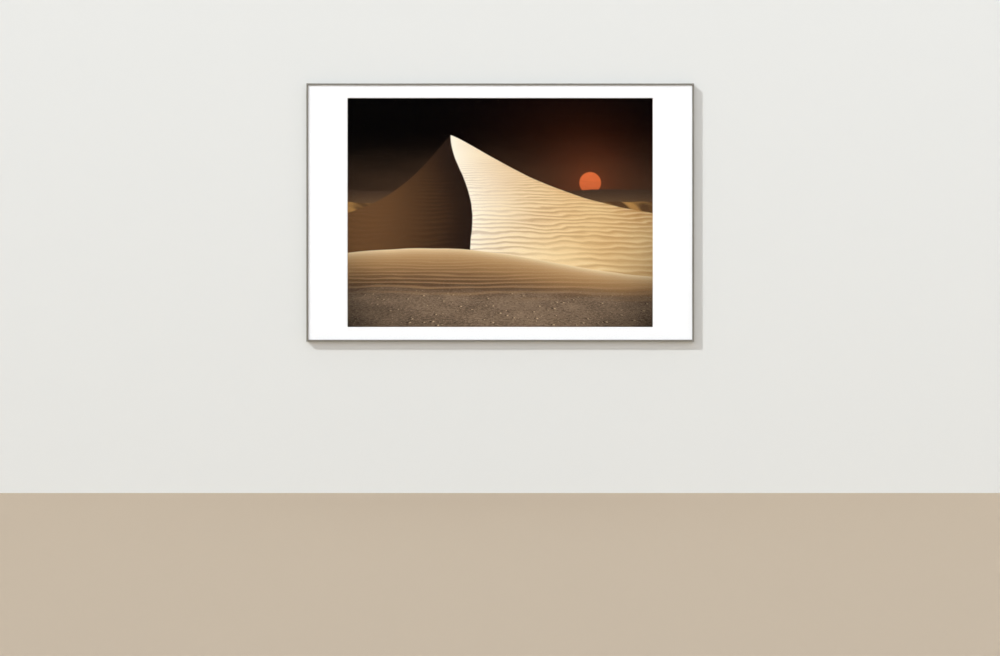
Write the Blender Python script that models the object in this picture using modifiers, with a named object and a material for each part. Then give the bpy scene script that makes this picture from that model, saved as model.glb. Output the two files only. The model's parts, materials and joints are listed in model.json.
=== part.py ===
"""A framed wall print: a thin aluminium frame round a glazed, mounted picture, with its rear hardware.

Metres, +Z up. The picture faces -Y and the wall is the plane Y = 0. The origin is the centre of the
print on the wall plane. Depths are measured from the frame's front face towards the wall, and insets
from the frame's outer edge towards its centre.
"""

import math

import bmesh
import bpy
from mathutils import Matrix

# Driving dimensions
FRAME_WIDTH = 1.000
FRAME_HEIGHT = 0.666
RAIL_DEPTH = 0.0205
PICTURE_WIDTH = 0.787
PICTURE_HEIGHT = PICTURE_WIDTH * 3 / 4
GAP = 0.0003

# Rail section, as an extruded aluminium profile with an open channel at the back
FACE_WIDTH = 0.005
FACE_THICKNESS = 0.0012
SECTION_WIDTH = 0.012
WALL = 0.0015
FRONT_ROUND = 0.0008
SMALL_EDGE = 0.0004
CHANNEL_LIP = 0.0012
CHANNEL_ROOM = 0.0022
CHANNEL_MOUTH = 0.005
LIP_LEVEL = RAIL_DEPTH - CHANNEL_LIP
CHANNEL_FLOOR = LIP_LEVEL - CHANNEL_ROOM
SHELF_LEVEL = CHANNEL_FLOOR - WALL
MOUTH_CENTRE = SECTION_WIDTH / 2
MOUTH_NEAR = MOUTH_CENTRE - CHANNEL_MOUTH / 2
MOUTH_FAR = MOUTH_CENTRE + CHANNEL_MOUTH / 2

# Sheets in the rabbet, front to back
SHEET_INSET = WALL + 0.001
GLAZING_THICKNESS = 0.0015
MAT_THICKNESS = 0.0015
PRINT_THICKNESS = 0.0005
MOUNT_BOARD_THICKNESS = 0.0015
BACKING_THICKNESS = 0.003
GLAZING_DEPTH = FACE_THICKNESS + GAP
MAT_DEPTH = GLAZING_DEPTH + GLAZING_THICKNESS + GAP
PRINT_DEPTH = MAT_DEPTH + MAT_THICKNESS + GAP
MOUNT_BOARD_DEPTH = PRINT_DEPTH + PRINT_THICKNESS + GAP
BACKING_DEPTH = MOUNT_BOARD_DEPTH + MOUNT_BOARD_THICKNESS + GAP
BACKING_REAR = BACKING_DEPTH + BACKING_THICKNESS

# Corner plates and their screws
PLATE_LEG = 0.030
PLATE_THICKNESS = CHANNEL_ROOM - 2 * GAP
PLATE_DEPTH = CHANNEL_FLOOR + GAP
PLATE_NEAR = WALL + GAP
PLATE_FAR = SECTION_WIDTH - WALL - GAP
SCREW_RADIUS = 0.002
SCREW_PLACE = 0.019
SCREW_SLOT = 0.0008
SCREW_SLOT_DEPTH = 0.0009
SCREW_SIDES = 20

# Bowed leaf springs that press the sheets forwards
SPRING_LENGTH = 0.044
SPRING_WIDTH = 0.014
SPRING_THICKNESS = 0.0005
SPRING_INSET = 0.0025
SPRING_FLAT = 0.004
SPRING_STEPS = 12
SPRING_SPACING = 0.25

# Hangers, tucked in front of the top rail's shelf and folded down behind it
HANGER_WIDTH = 0.036
HANGER_THICKNESS = 0.001
HANGER_PLACE = FRAME_WIDTH / 4
HANGER_TONGUE_INSET = 0.003
HANGER_DROP = 0.035
HANGER_REAR = 0.018
HANGER_ROUND = 0.004
WINDOW_WIDTH = 0.024
WINDOW_TOP = 0.0195
WINDOW_BOTTOM = 0.0285
TEETH = 10
TOOTH_DEPTH = 0.0012

# Wall pads
PAD_THICKNESS = 0.0017
PAD_RADIUS = 0.0055
PAD_PLACE = 0.045
PAD_SIDES = 32
PAD_EDGE = 0.0004

FRONT_Y = -(PAD_THICKNESS + GAP + RAIL_DEPTH)
QUARTER_TURN = math.pi / 2

# How far a cutter reaches past what it cuts
PAST = 0.002


def clear_scene():
    for old in list(bpy.data.objects):
        bpy.data.objects.remove(old, do_unlink=True)


def make_collection(name, shown=True):
    collection = bpy.data.collections.new(name)
    collection.hide_render = not shown
    bpy.context.scene.collection.children.link(collection)
    return collection


def make_material(name, colour, roughness, metallic=0.0, alpha=1.0):
    material = bpy.data.materials.new(name)
    material.use_nodes = True
    shader = material.node_tree.nodes["Principled BSDF"]
    shader.inputs["Base Color"].default_value = (*colour, 1.0)
    shader.inputs["Roughness"].default_value = roughness
    shader.inputs["Metallic"].default_value = metallic
    shader.inputs["Alpha"].default_value = alpha
    return material


def add_object(name, mesh, material, collection):
    obj = bpy.data.objects.new(name, mesh)
    mesh.materials.clear()
    mesh.materials.append(material)
    collection.objects.link(obj)
    return obj


def shade_round(obj, angle_deg=35):
    obj.data.shade_smooth()
    obj.data.set_sharp_from_angle(angle=math.radians(angle_deg))


def arc(centre_x, centre_y, radius, start_deg, end_deg, steps):
    """Points along an arc, ends included."""
    points = []
    for step in range(steps + 1):
        angle = math.radians(start_deg + (end_deg - start_deg) * step / steps)
        points.append((centre_x + radius * math.cos(angle), centre_y + radius * math.sin(angle)))
    return points


def extruded_mesh(name, outline, length):
    """The closed outline in local X and Y, extruded by length along local Z about its middle."""
    curve = bpy.data.curves.new(name + "_outline", "CURVE")
    curve.dimensions = "2D"
    curve.fill_mode = "BOTH"
    curve.extrude = length / 2
    spline = curve.splines.new("POLY")
    spline.points.add(len(outline) - 1)
    for point, (x, y) in zip(spline.points, outline):
        point.co = (x, y, 0.0, 1.0)
    spline.use_cyclic_u = True
    guide = bpy.data.objects.new(name + "_guide", curve)
    bpy.context.scene.collection.objects.link(guide)
    graph = bpy.context.evaluated_depsgraph_get()
    mesh = bpy.data.meshes.new_from_object(guide.evaluated_get(graph))
    mesh.name = name
    bpy.data.objects.remove(guide, do_unlink=True)
    shape = bmesh.new()
    shape.from_mesh(mesh)
    bmesh.ops.remove_doubles(shape, verts=shape.verts, dist=1e-6)
    bmesh.ops.recalc_face_normals(shape, faces=shape.faces)
    shape.to_mesh(mesh)
    shape.free()
    mesh.shade_flat()
    return mesh


def box_mesh(name, width, depth, height):
    shape = bmesh.new()
    bmesh.ops.create_cube(shape, size=1.0)
    bmesh.ops.scale(shape, vec=(width, depth, height), verts=shape.verts)
    mesh = bpy.data.meshes.new(name)
    shape.to_mesh(mesh)
    shape.free()
    return mesh


def disc_mesh(name, radius, thickness, sides):
    """A short cylinder whose axis is Y."""
    shape = bmesh.new()
    bmesh.ops.create_cone(
        shape, cap_ends=True, segments=sides, radius1=radius, radius2=radius, depth=thickness
    )
    bmesh.ops.rotate(shape, verts=shape.verts, matrix=Matrix.Rotation(QUARTER_TURN, 3, "X"))
    mesh = bpy.data.meshes.new(name)
    shape.to_mesh(mesh)
    shape.free()
    return mesh


def cut(obj, cutter, cutters):
    """Cuts the cutter's shape out of obj with a Boolean modifier."""
    cutter.hide_render = True
    cutter.display_type = "WIRE"
    cutters.objects.link(cutter)
    modifier = obj.modifiers.new("cut_" + cutter.name, "BOOLEAN")
    modifier.operation = "DIFFERENCE"
    modifier.object = cutter


def frame_sides():
    """Each side's name, the middle of its outer edge, its turn about Y and its length."""
    x, z = FRAME_WIDTH / 2, FRAME_HEIGHT / 2
    return [
        ("top", (0, 0, z), 0, FRAME_WIDTH),
        ("right", (x, 0, 0), QUARTER_TURN, FRAME_HEIGHT),
        ("bottom", (0, 0, -z), 2 * QUARTER_TURN, FRAME_WIDTH),
        ("left", (-x, 0, 0), 3 * QUARTER_TURN, FRAME_HEIGHT),
    ]


def rail_outline():
    """The rail's section as (inset, depth) points, going round once from the front's outer edge."""
    rear = RAIL_DEPTH
    outline = arc(FRONT_ROUND, FRONT_ROUND, FRONT_ROUND, 180, 270, 3)
    outline += [
        (FACE_WIDTH - SMALL_EDGE, 0.0),
        (FACE_WIDTH, SMALL_EDGE),
        (FACE_WIDTH, FACE_THICKNESS),
        (WALL, FACE_THICKNESS),
        (WALL, SHELF_LEVEL),
        (SECTION_WIDTH, SHELF_LEVEL),
        (SECTION_WIDTH, rear - SMALL_EDGE),
        (SECTION_WIDTH - SMALL_EDGE, rear),
        (MOUTH_FAR, rear),
        (MOUTH_FAR, LIP_LEVEL),
        (SECTION_WIDTH - WALL, LIP_LEVEL),
        (SECTION_WIDTH - WALL, CHANNEL_FLOOR),
        (WALL, CHANNEL_FLOOR),
        (WALL, LIP_LEVEL),
        (MOUTH_NEAR, LIP_LEVEL),
        (MOUTH_NEAR, rear),
        (SMALL_EDGE, rear),
        (0.0, rear - SMALL_EDGE),
    ]
    return outline


def section_to_row(mesh):
    """Turns an extrusion of (inset, depth) so that it runs along X, with its outer edge at Z = 0 and
    its front at FRONT_Y, and returns it."""
    for vertex in mesh.vertices:
        inset, depth, along = vertex.co
        vertex.co = (along, FRONT_Y + depth, -inset)
    return mesh


def make_rail(name, place, turn, length, material, collection):
    """One rail, mitred at both ends. Each end point slides along the rail by its inset, and by half
    the mitre gap."""
    mesh = section_to_row(extruded_mesh(name, rail_outline(), length))
    pull_back = GAP / math.sqrt(2)
    for vertex in mesh.vertices:
        end = math.copysign(1.0, vertex.co.x)
        inset = -vertex.co.z
        vertex.co.x = end * (length / 2 - inset - pull_back)
    rail = add_object(name, mesh, material, collection)
    rail.location = place
    rail.rotation_euler = (0.0, turn, 0.0)
    shade_round(rail)


def make_rails(material, collection):
    for side, place, turn, length in frame_sides():
        make_rail("rail_" + side, place, turn, length, material, collection)


def make_sheet(name, depth, thickness, material, collection):
    """One of the flat sheets that fill the rabbet, all cut to the same size."""
    width = FRAME_WIDTH - 2 * SHEET_INSET
    height = FRAME_HEIGHT - 2 * SHEET_INSET
    sheet = add_object(name, box_mesh(name, width, thickness, height), material, collection)
    sheet.location = (0, FRONT_Y + depth + thickness / 2, 0)
    return sheet


def cut_mat_window(mat, cutters):
    """The window, cut at 45 degrees, so that its white core shows as a sloping edge."""
    mesh = box_mesh("mat_window_cutter", 1.0, MAT_THICKNESS + 2 * PAST, 1.0)
    for vertex in mesh.vertices:
        # The window has its stated size at the mat's rear face and widens towards the front.
        forward = MAT_THICKNESS / 2 - vertex.co.y
        vertex.co.x = math.copysign(PICTURE_WIDTH / 2 + forward, vertex.co.x)
        vertex.co.z = math.copysign(PICTURE_HEIGHT / 2 + forward, vertex.co.z)
    cutter = bpy.data.objects.new("mat_window_cutter", mesh)
    cutter.location = mat.location
    cut(mat, cutter, cutters)


def make_sheets(materials, collection, cutters):
    make_sheet("glazing", GLAZING_DEPTH, GLAZING_THICKNESS, materials["glazing"], collection)
    mat = make_sheet("mat", MAT_DEPTH, MAT_THICKNESS, materials["mat"], collection)
    cut_mat_window(mat, cutters)
    make_sheet("print", PRINT_DEPTH, PRINT_THICKNESS, materials["print"], collection)
    make_sheet(
        "mount_board", MOUNT_BOARD_DEPTH, MOUNT_BOARD_THICKNESS, materials["card"], collection
    )
    make_sheet(
        "backing_board", BACKING_DEPTH, BACKING_THICKNESS, materials["hardboard"], collection
    )


def corner_plate_mesh():
    """An L of two legs about the frame's top right corner, which is its local origin."""
    outline = [
        (-PLATE_NEAR, -PLATE_NEAR),
        (-PLATE_NEAR, -PLATE_LEG),
        (-PLATE_FAR, -PLATE_LEG),
        (-PLATE_FAR, -PLATE_FAR),
        (-PLATE_LEG, -PLATE_FAR),
        (-PLATE_LEG, -PLATE_NEAR),
    ]
    mesh = extruded_mesh("corner_plate", outline, PLATE_THICKNESS)
    middle = FRONT_Y + PLATE_DEPTH + PLATE_THICKNESS / 2
    for vertex in mesh.vertices:
        x, z, through = vertex.co
        vertex.co = (x, middle + through, z)
    mesh.flip_normals()
    return mesh


def screw_places():
    """Local (x, z) of the two screws of a corner, one on each leg."""
    return [(-SCREW_PLACE, -MOUTH_CENTRE), (-MOUTH_CENTRE, -SCREW_PLACE)]


def screw_turn(number, leg):
    """How far each screw happens to be turned, in radians: no two slots lie alike."""
    return math.radians(40 * number + 70 * leg + 25)


def make_corner(number, place, turn, materials, collection, cutters):
    plate = add_object(f"corner_plate_{number}", corner_plate_mesh(), materials["steel"], collection)
    plate.location = place
    plate.rotation_euler = (0.0, turn, 0.0)
    turned = Matrix.Translation(place) @ Matrix.Rotation(turn, 4, "Y")
    screw_front = CHANNEL_FLOOR + GAP
    screw_length = RAIL_DEPTH - GAP - screw_front
    screw_middle = FRONT_Y + screw_front + screw_length / 2
    for leg, (x, z) in enumerate(screw_places()):
        name = f"corner_screw_{2 * number - 1 + leg}"
        matrix = turned @ Matrix.Translation((x, screw_middle, z))
        hole_length = screw_length + 2 * PAST
        hole = disc_mesh(name + "_hole", SCREW_RADIUS + GAP, hole_length, SCREW_SIDES)
        hole_cutter = bpy.data.objects.new(name + "_hole", hole)
        hole_cutter.matrix_world = matrix
        cut(plate, hole_cutter, cutters)
        body = disc_mesh(name, SCREW_RADIUS, screw_length, SCREW_SIDES)
        screw = add_object(name, body, materials["steel"], collection)
        screw.matrix_world = matrix
        shade_round(screw)
        slot = box_mesh(name + "_slot", 2 * (SCREW_RADIUS + PAST), 2 * SCREW_SLOT_DEPTH, SCREW_SLOT)
        slot_cutter = bpy.data.objects.new(name + "_slot", slot)
        to_head = Matrix.Translation((0, screw_length / 2, 0))
        slot_cutter.matrix_world = matrix @ to_head @ Matrix.Rotation(screw_turn(number, leg), 4, "Y")
        cut(screw, slot_cutter, cutters)


def make_corners(materials, collection, cutters):
    x, z = FRAME_WIDTH / 2, FRAME_HEIGHT / 2
    places = [(x, 0, z), (x, 0, -z), (-x, 0, -z), (-x, 0, z)]
    for index, place in enumerate(places):
        make_corner(index + 1, place, index * QUARTER_TURN, materials, collection, cutters)


def spring_outline():
    """The spring's edge as (along, depth): flat ends on the shelf and a bow down to the backing."""
    rear = SHELF_LEVEL - GAP
    bow = rear - SPRING_THICKNESS - (BACKING_REAR + GAP)
    half = SPRING_LENGTH / 2
    rear_side = [(-half, rear)]
    front_side = [(-half, rear - SPRING_THICKNESS)]
    reach = half - SPRING_FLAT
    for step in range(SPRING_STEPS + 1):
        along = -reach + 2 * reach * step / SPRING_STEPS
        drop = bow * (1 + math.cos(math.pi * along / reach)) / 2
        rear_side.append((along, rear - drop))
        front_side.append((along, rear - drop - SPRING_THICKNESS))
    rear_side.append((half, rear))
    front_side.append((half, rear - SPRING_THICKNESS))
    return rear_side + front_side[::-1]


def spring_mesh():
    """A spring under the shelf of a rail that runs along X with its outer edge at Z = 0."""
    mesh = extruded_mesh("spring", spring_outline(), SPRING_WIDTH)
    middle = SPRING_INSET + SPRING_WIDTH / 2
    for vertex in mesh.vertices:
        along, depth, across = vertex.co
        vertex.co = (along, FRONT_Y + depth, -middle + across)
    return mesh


def make_springs(material, collection):
    for side, place, turn, length in frame_sides():
        count = math.floor(length / SPRING_SPACING)
        for index in range(count):
            along = length * ((index + 0.5) / count - 0.5)
            name = f"spring_{side}_{index + 1}"
            spring = add_object(name, spring_mesh(), material, collection)
            shift = Matrix.Translation((along, 0, 0))
            spring.matrix_world = Matrix.Translation(place) @ Matrix.Rotation(turn, 4, "Y") @ shift
            shade_round(spring)


def hanger_outline():
    """The hanger's section as (inset, depth): a tongue in front of the shelf, a fold round its edge
    and a plate that hangs behind."""
    tongue_rear = SHELF_LEVEL - GAP
    tongue_front = tongue_rear - HANGER_THICKNESS
    fold_near = SECTION_WIDTH + GAP
    fold_far = fold_near + HANGER_THICKNESS
    plate_front = HANGER_REAR - HANGER_THICKNESS
    return [
        (HANGER_TONGUE_INSET, tongue_front),
        (fold_far, tongue_front),
        (fold_far, plate_front),
        (HANGER_DROP, plate_front),
        (HANGER_DROP, HANGER_REAR),
        (fold_near, HANGER_REAR),
        (fold_near, tongue_rear),
        (HANGER_TONGUE_INSET, tongue_rear),
    ]


def window_outline():
    """The toothed window as (along, height), with its teeth pointing down from the upper edge."""
    half = WINDOW_WIDTH / 2
    pitch = WINDOW_WIDTH / TEETH
    outline = [(-half, -WINDOW_BOTTOM), (half, -WINDOW_BOTTOM)]
    for tooth in range(TEETH):
        right = half - tooth * pitch
        outline.append((right, -WINDOW_TOP))
        outline.append((right - pitch / 2, -WINDOW_TOP - TOOTH_DEPTH))
    outline.append((-half, -WINDOW_TOP))
    return outline


def flat_cutter(name, outline, matrix, reach):
    """A cutter with its outline in X and Z, running through along Y."""
    mesh = extruded_mesh(name, outline, reach)
    for vertex in mesh.vertices:
        x, z, through = vertex.co
        vertex.co = (x, through, z)
    mesh.flip_normals()
    cutter = bpy.data.objects.new(name, mesh)
    cutter.matrix_world = matrix
    return cutter


def corner_cutter_outline(side):
    """What rounds one lower corner of the hanger's plate: the corner square less a quarter disc."""
    half = HANGER_WIDTH / 2
    centre_x = side * (half - HANGER_ROUND)
    centre_z = -(HANGER_DROP - HANGER_ROUND)
    start, end = (0, -90) if side > 0 else (180, 270)
    outline = arc(centre_x, centre_z, HANGER_ROUND, start, end, 6)
    outline += [
        (centre_x, -HANGER_DROP - PAST),
        (side * (half + PAST), -HANGER_DROP - PAST),
        (side * (half + PAST), centre_z),
    ]
    return outline


def make_hanger(name, along, material, collection, cutters):
    mesh = section_to_row(extruded_mesh(name, hanger_outline(), HANGER_WIDTH))
    hanger = add_object(name, mesh, material, collection)
    matrix = Matrix.Translation((along, 0, FRAME_HEIGHT / 2))
    hanger.matrix_world = matrix
    plate_middle = FRONT_Y + HANGER_REAR - HANGER_THICKNESS / 2
    plate_matrix = matrix @ Matrix.Translation((0, plate_middle, 0))
    reach = HANGER_THICKNESS + 2 * PAST
    cut(hanger, flat_cutter(name + "_window", window_outline(), plate_matrix, reach), cutters)
    for side in (-1, 1):
        corner = flat_cutter(f"{name}_corner_{side}", corner_cutter_outline(side), plate_matrix, reach)
        cut(hanger, corner, cutters)


def make_hangers(material, collection, cutters):
    make_hanger("hanger_left", -HANGER_PLACE, material, collection, cutters)
    make_hanger("hanger_right", HANGER_PLACE, material, collection, cutters)


def make_pads(material, collection):
    """Four pads, stuck across the channel's mouth near the ends of the long rails."""
    x = FRAME_WIDTH / 2 - PAD_PLACE
    z = FRAME_HEIGHT / 2 - MOUTH_CENTRE
    for number, (side_x, side_z) in enumerate([(1, 1), (1, -1), (-1, -1), (-1, 1)]):
        mesh = disc_mesh("wall_pad", PAD_RADIUS, PAD_THICKNESS, PAD_SIDES)
        pad = add_object(f"wall_pad_{number + 1}", mesh, material, collection)
        pad.location = (side_x * x, -PAD_THICKNESS / 2, side_z * z)
        bevel = pad.modifiers.new("edge", "BEVEL")
        bevel.width = PAD_EDGE
        bevel.segments = 2
        bevel.angle_limit = math.radians(40)


def main():
    clear_scene()
    collection = make_collection("framed_print")
    cutters = make_collection("cutters", shown=False)
    materials = {
        "aluminium": make_material("anodised_aluminium", (0.21, 0.20, 0.175), 0.38, 1.0),
        "glazing": make_material("clear_glazing", (0.95, 0.97, 0.96), 0.03, 0.0, 0.06),
        "mat": make_material("white_mat", (0.92, 0.92, 0.91), 0.9),
        "print": make_material("picture_print", (0.45, 0.28, 0.09), 0.55),
        "card": make_material("grey_card", (0.62, 0.60, 0.56), 0.9),
        "hardboard": make_material("brown_hardboard", (0.27, 0.16, 0.09), 0.8),
        "steel": make_material("zinc_plated_steel", (0.55, 0.55, 0.53), 0.35, 1.0),
        "spring": make_material("spring_steel", (0.20, 0.21, 0.24), 0.32, 1.0),
        "felt": make_material("grey_felt", (0.16, 0.16, 0.15), 1.0),
    }
    make_rails(materials["aluminium"], collection)
    make_sheets(materials, collection, cutters)
    make_corners(materials, collection, cutters)
    make_springs(materials["spring"], collection)
    make_hangers(materials["steel"], collection, cutters)
    make_pads(materials["felt"], collection)


main()
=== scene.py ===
# %% [markdown]
# # A framed wall print, finished surface by surface
# The object is a landscape print behind clear glazing. A wide white mat surrounds it, and a thin
# warm-grey aluminium frame holds it, with springs, corner plates and hangers at the back. The solids
# already give every piece its place and size, so this script only makes the finer surfaces over them.

# %% Load the solids and measure them
import json
import math

import bmesh
import bpy
from mathutils import Matrix, Vector

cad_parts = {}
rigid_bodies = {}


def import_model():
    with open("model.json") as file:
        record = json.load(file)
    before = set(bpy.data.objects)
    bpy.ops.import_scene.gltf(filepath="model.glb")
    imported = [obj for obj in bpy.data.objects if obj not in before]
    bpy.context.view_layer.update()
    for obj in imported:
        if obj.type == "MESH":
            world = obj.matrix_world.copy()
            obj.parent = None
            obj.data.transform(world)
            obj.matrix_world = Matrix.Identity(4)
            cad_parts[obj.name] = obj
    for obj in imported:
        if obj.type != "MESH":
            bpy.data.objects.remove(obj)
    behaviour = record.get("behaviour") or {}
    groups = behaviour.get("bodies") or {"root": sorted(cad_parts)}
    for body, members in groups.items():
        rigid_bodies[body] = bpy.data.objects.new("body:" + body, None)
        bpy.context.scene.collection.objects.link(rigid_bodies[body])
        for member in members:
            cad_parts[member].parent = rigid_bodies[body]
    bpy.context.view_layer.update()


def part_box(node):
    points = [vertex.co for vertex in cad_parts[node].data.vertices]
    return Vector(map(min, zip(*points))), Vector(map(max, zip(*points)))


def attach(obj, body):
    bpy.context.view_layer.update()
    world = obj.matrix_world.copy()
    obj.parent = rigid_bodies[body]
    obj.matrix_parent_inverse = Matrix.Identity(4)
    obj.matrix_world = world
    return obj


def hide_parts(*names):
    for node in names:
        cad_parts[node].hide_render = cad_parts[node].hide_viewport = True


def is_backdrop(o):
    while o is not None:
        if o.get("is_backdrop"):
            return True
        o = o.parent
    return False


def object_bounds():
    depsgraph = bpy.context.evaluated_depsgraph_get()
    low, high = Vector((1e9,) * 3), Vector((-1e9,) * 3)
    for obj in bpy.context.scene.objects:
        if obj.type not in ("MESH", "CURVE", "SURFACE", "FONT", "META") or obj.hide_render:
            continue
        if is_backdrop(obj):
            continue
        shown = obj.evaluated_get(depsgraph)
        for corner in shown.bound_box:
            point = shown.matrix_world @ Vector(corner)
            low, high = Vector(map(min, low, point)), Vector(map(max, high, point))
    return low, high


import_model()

MM = 0.001

# %% [markdown]
# ## Sizes read from the solids
# A frame is a stack of thin sheets, so most of its sizes are depths. They could be typed in again, but
# reading them from the boxes of the solids keeps every finished piece in its own space. Only the walls
# of the rail's section are new numbers here, because a box cannot show them.

# %% Driving sizes
def measured(node):
    """The middle of a solid's box, and its size."""
    low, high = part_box(node)
    return (low + high) / 2, high - low


HALF_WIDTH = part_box("rail_right")[1].x
HALF_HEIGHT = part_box("rail_top")[1].z
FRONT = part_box("rail_top")[0].y
_, RAIL_DEPTH, SECTION = measured("rail_top")[1]
GAP = 0.3 * MM
FACE_WIDTH, FACE_THICKNESS = 5 * MM, 1.2 * MM
RAIL_WALL, CHANNEL_MOUTH = 1.5 * MM, 5 * MM
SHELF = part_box("spring_top_1")[1].y + GAP - FRONT
CHANNEL_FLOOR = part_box("corner_plate_1")[0].y - GAP - FRONT
CHANNEL_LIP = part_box("corner_plate_1")[1].y + GAP - FRONT
QUARTER = math.pi / 2
print(f"frame {2 * HALF_WIDTH:.3f} x {2 * HALF_HEIGHT:.3f} m")
print(f"rail {SECTION / MM:.1f} x {RAIL_DEPTH / MM:.1f} mm")

# %% [markdown]
# ## The camera
# The print hangs well above the middle of the view, and its edges are parallel. A long lens held level,
# below the print's centre, gives both without tilting or shifting the camera. Its distance follows
# from how wide the frame is in the picture to be matched.

# %% Camera
IMAGE_WIDTH_PX, IMAGE_HEIGHT_PX = 1000, 656
FRAME_WIDTH_PX = 387.9
FRAME_CENTRE_PX = (500.2, 212.5)
LENS, SENSOR = 85, 36
metres_per_px = 2 * HALF_WIDTH / FRAME_WIDTH_PX
camera_away = IMAGE_WIDTH_PX * metres_per_px * LENS / SENSOR
camera = bpy.data.objects.new("camera", bpy.data.cameras.new("camera"))
camera.data.lens = LENS
camera.data.sensor_width = SENSOR
camera.location = (
    (IMAGE_WIDTH_PX / 2 - FRAME_CENTRE_PX[0]) * metres_per_px,
    FRONT - camera_away,
    (FRAME_CENTRE_PX[1] - IMAGE_HEIGHT_PX / 2) * metres_per_px,
)
camera.rotation_euler = (QUARTER, 0, 0)
bpy.context.scene.collection.objects.link(camera)
bpy.context.scene.camera = camera
print(f"camera {camera_away:.2f} m in front, {-camera.location.z:.3f} m below the print's centre")

# %% [markdown]
# ## Numbers as fields
# A node tree is a formula, but wired by hand it is hard to read. The small class below lets plain
# Python arithmetic write the Math nodes, so a pattern reads as the formula that it is. It serves
# material trees and geometry trees alike, because both use the same Math node.

# %% Arithmetic that writes nodes
def written_as(operation):
    """A method that writes one Math node."""
    return lambda self, other: self.math(operation, other)


class Field:
    """A number that varies over a surface. Its tree is the one that its socket belongs to."""

    __add__ = __radd__ = written_as("ADD")
    __sub__ = written_as("SUBTRACT")
    __mul__ = __rmul__ = written_as("MULTIPLY")
    __truediv__ = written_as("DIVIDE")
    __pow__ = written_as("POWER")

    def __init__(self, socket):
        self.tree, self.socket = socket.id_data, socket

    def __rsub__(self, other):
        return self * -1 + other

    def __rtruediv__(self, other):
        return self ** -1 * other

    def math(self, operation, *others):
        numbers = dict(enumerate((self, *others)))
        return Field(add(self.tree, "ShaderNodeMath", numbers, operation=operation).outputs[0])


print("a plain number may stand first in", [name for name in vars(Field) if "__r" in name])

# %% A node and what is plugged into it
def plug(place, value):
    """Puts a Field, a node's first output, a socket or a plain value into an input."""
    if isinstance(value, Field):
        value = value.socket
    if isinstance(value, bpy.types.Node):
        value = value.outputs[0]
    if isinstance(value, bpy.types.NodeSocket):
        place.id_data.links.new(value, place)
    elif place.type == "RGBA" and len(value) == 3:
        place.default_value = (*value, 1)
    else:
        place.default_value = value


def add(tree, kind, inputs=None, **settings):
    """A new node with its settings, and its inputs plugged in by name or number."""
    node = tree.nodes.new(kind)
    for setting, value in settings.items():
        setattr(node, setting, value)
    for name, value in (inputs or {}).items():
        plug(node.inputs[name], value)
    return node


print("an input takes a number, a colour, a socket, a whole node or a Field")

# %% Steps, noise and mixing
def split(vector):
    """The three parts of a vector, as Fields."""
    node = add(vector.id_data, "ShaderNodeSeparateXYZ", {"Vector": vector})
    return [Field(output) for output in node.outputs]


def joined(tree, x, y, z=0):
    return add(tree, "ShaderNodeCombineXYZ", {"X": x, "Y": y, "Z": z}).outputs[0]


def ramp(x, low, high):
    """0 where x is at low, 1 where it is at high, with a soft step between."""
    inputs = {"Value": x, "From Min": low, "From Max": high}
    node = add(x.tree, "ShaderNodeMapRange", inputs, interpolation_type="SMOOTHSTEP")
    return Field(node.outputs["Result"])


def noise(x, y, scale, detail=2, roughness=0.5, seed=0):
    """Cloudy noise from -1 to 1."""
    inputs = {"Vector": joined(x.tree, x, y, seed), "Scale": scale, "Detail": detail, "Roughness": roughness}
    return Field(add(x.tree, "ShaderNodeTexNoise", inputs).outputs["Fac"]) * 2 - 1


def shade(colour):
    """A screen's colour, from 0 to 255, as linear light. A node's colour stays as it is."""
    if not isinstance(colour, tuple):
        return colour
    channels = [channel / 255 for channel in colour]
    return tuple(((c + 0.055) / 1.055) ** 2.4 if c > 0.04 else c / 12.92 for c in channels)


def mixed(amount, first, second):
    """The first colour where amount is 0, the second where it is 1."""
    inputs = {"Factor": amount, "A": shade(first), "B": shade(second)}
    return add(amount.tree, "ShaderNodeMix", inputs, data_type="RGBA").outputs["Result"]


print("the greys of a screen are not linear: 127 of 255 is", round(shade((127, 127, 127))[0], 3))

# %% [markdown]
# ## The room's light
# A hung print is seen by soft light, mostly from the room in front of it, and one clearer light that
# gives it a thin shadow below and to the right. Lamps alone would leave patches on so large a wall, so
# the soft part is the world. It is brightest straight in front, where the frame can hardly shade the
# wall. The clear part is a sun, whose direction is worked out from how far the shadow reaches past the
# frame. Both only light dull surfaces. Shiny ones answer the softboxes, so the clear sheet does not veil
# the picture and no rail burns out.

# %% World
scene = bpy.context.scene
scene.view_settings.view_transform = "Standard"
LIGHT_COLOUR = (0.95, 1, 1.08)
BACKGROUND = shade((226, 225, 220))
STRAIGHT_GLOW, FRONT_GLOW, BACK_GLOW, TOP_GLOW, GLOW = 3.55, 0.45, 0.6, 0.25, 0.31

world = bpy.data.worlds.new("pale_room")
world.use_nodes = True
scene.world = world
world.cycles_visibility.glossy = False
tree = world.node_tree
tree.nodes.clear()
_, sky_y, sky_z = split(add(tree, "ShaderNodeTexCoord").outputs["Generated"])
glow = ramp(sky_y, -0.9, -0.99) * STRAIGHT_GLOW + ramp(sky_y, -0.5, -0.96) * FRONT_GLOW
glow = glow + ramp(sky_y, 0, 0.7) * BACK_GLOW + ramp(sky_z, 0.1, 0.9) * TOP_GLOW + GLOW
rays = add(tree, "ShaderNodeLightPath")
soft = add(tree, "ShaderNodeBackground", {"Color": LIGHT_COLOUR, "Strength": glow})
seen = add(tree, "ShaderNodeBackground", {"Color": BACKGROUND})
both = add(tree, "ShaderNodeMixShader", {0: rays.outputs["Is Camera Ray"], 1: soft, 2: seen})
add(tree, "ShaderNodeOutputWorld", {"Surface": both})
print("soft light of", GLOW, "all round and", GLOW + FRONT_GLOW + STRAIGHT_GLOW, "straight in front")

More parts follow.
